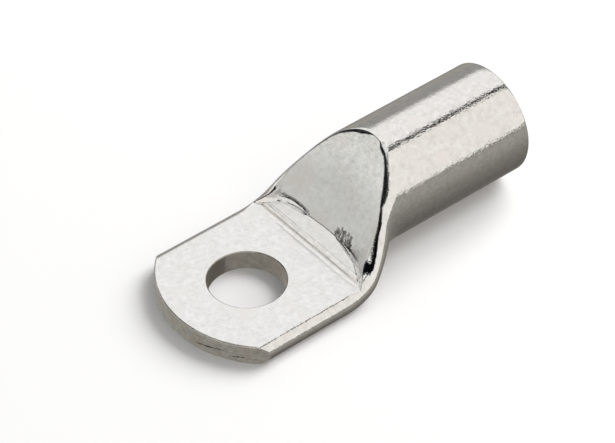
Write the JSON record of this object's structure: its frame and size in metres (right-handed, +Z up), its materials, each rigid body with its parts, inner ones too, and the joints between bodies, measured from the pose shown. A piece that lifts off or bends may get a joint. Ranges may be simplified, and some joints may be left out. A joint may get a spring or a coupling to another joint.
{
  "type": "cable lug",
  "caption": "Tubular cable lug pressed from tin-plated copper tube: a round barrel takes the stripped conductor and a flat palm with a stud hole is bolted down.",
  "frame": {"origin": "axis of the stud hole at the underside of the palm", "axes": "+X along the barrel towards its open mouth, +Y across the palm, +Z up from the palm's contact face, along the stud"},
  "size_m": [0.0868, 0.0381, 0.026],
  "materials": {
    "tinned_copper": "bright tin plating on copper"
  },
  "bodies": {
    "root": {"lug_body": "tinned_copper"}
  },
  "joints": []
}
